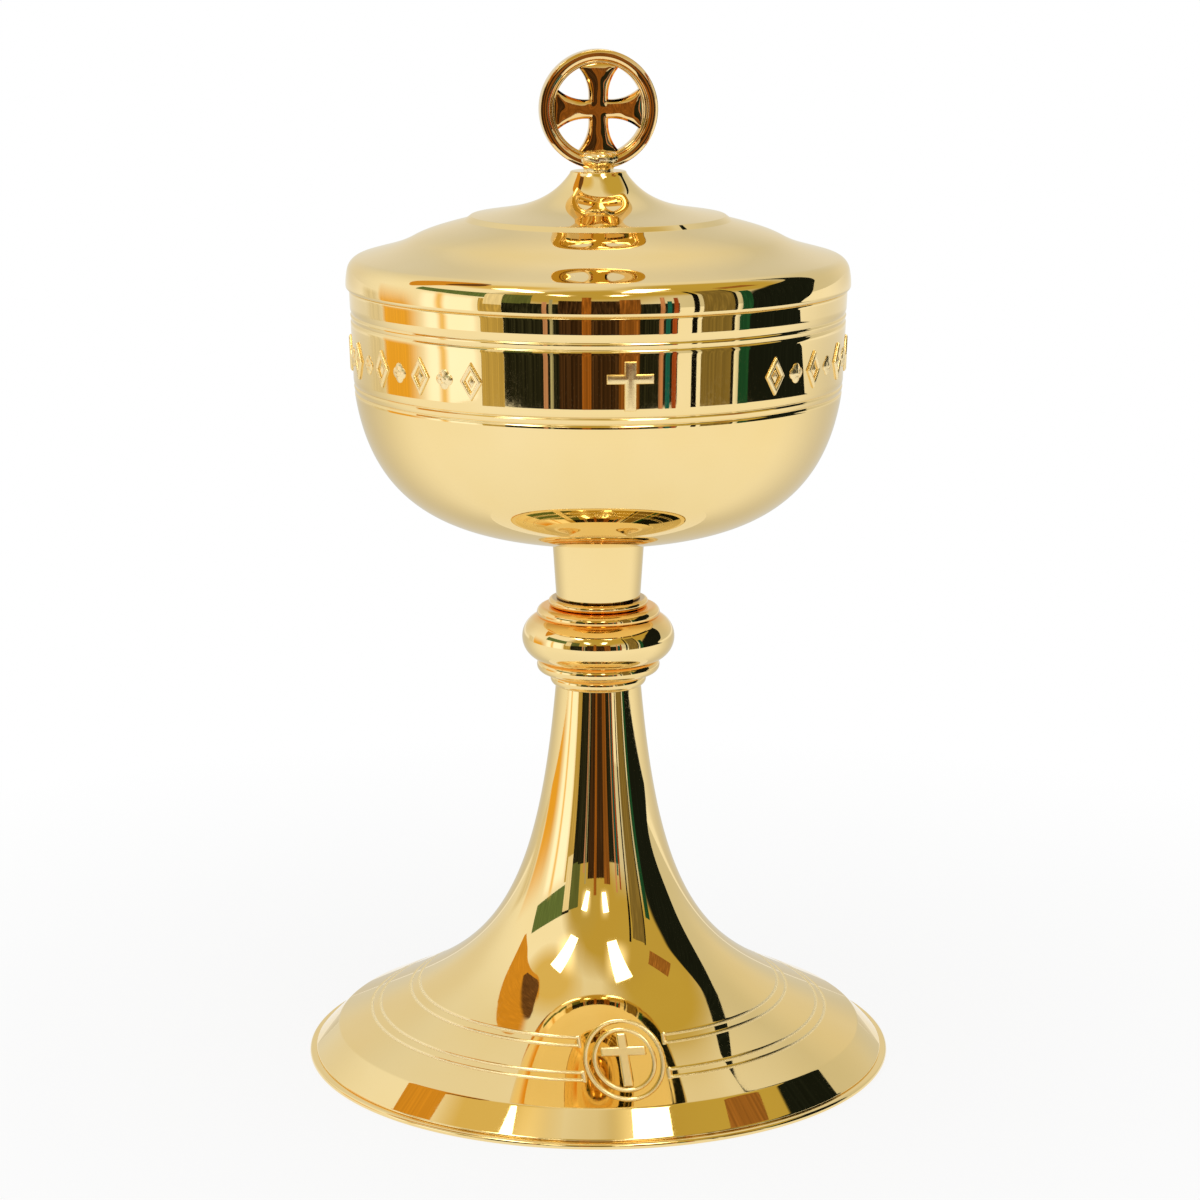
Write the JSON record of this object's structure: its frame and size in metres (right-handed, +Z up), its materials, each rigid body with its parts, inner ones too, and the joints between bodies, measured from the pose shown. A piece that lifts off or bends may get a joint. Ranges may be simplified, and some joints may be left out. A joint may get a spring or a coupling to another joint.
{
  "type": "ciborium",
  "caption": "Covered cup on a knopped stem and wide trumpet foot, with a lift-off lid topped by a cross in a ring; holds altar breads.",
  "frame": {"origin": "middle of the base on the table", "axes": "+Z up along the axis of cup, stem and foot; the cross on the cup and the medallion on the foot face -Y"},
  "size_m": [0.1402, 0.1402, 0.24],
  "materials": {
    "polished_gold": "gold plate on spun brass, mirror polished",
    "relief_gold": "gold plate, polished edges on a finely matted ground",
    "cast_gold": "gold plate on cast brass, polished",
    "plain_brass": "turned brass, unplated",
    "bright_steel": "zinc-plated steel"
  },
  "bodies": {
    "cup_and_foot": {"base_ring": "polished_gold", "foot_shell": "polished_gold", "low_collar": "polished_gold", "knop": "polished_gold", "top_collar": "polished_gold", "stem_sleeve": "polished_gold", "cup_bowl": "polished_gold", "cup_cross": "relief_gold", "cup_ornament": "relief_gold", "cup_boss": "plain_brass", "tie_rod": "bright_steel", "foot_washer": "bright_steel", "foot_nut": "bright_steel"},
    "lid": {"lid_shell": "polished_gold", "lid_collar": "polished_gold", "finial_base": "cast_gold", "finial_ring": "cast_gold", "finial_cross": "cast_gold", "lid_washer": "bright_steel", "lid_nut": "bright_steel"}
  },
  "joints": [
    {"name": "lid_lift", "type": "slide", "parent": "cup_and_foot", "child": "lid", "axis": [0, 0, 1], "range_m": [0, 0.1]}
  ]
}
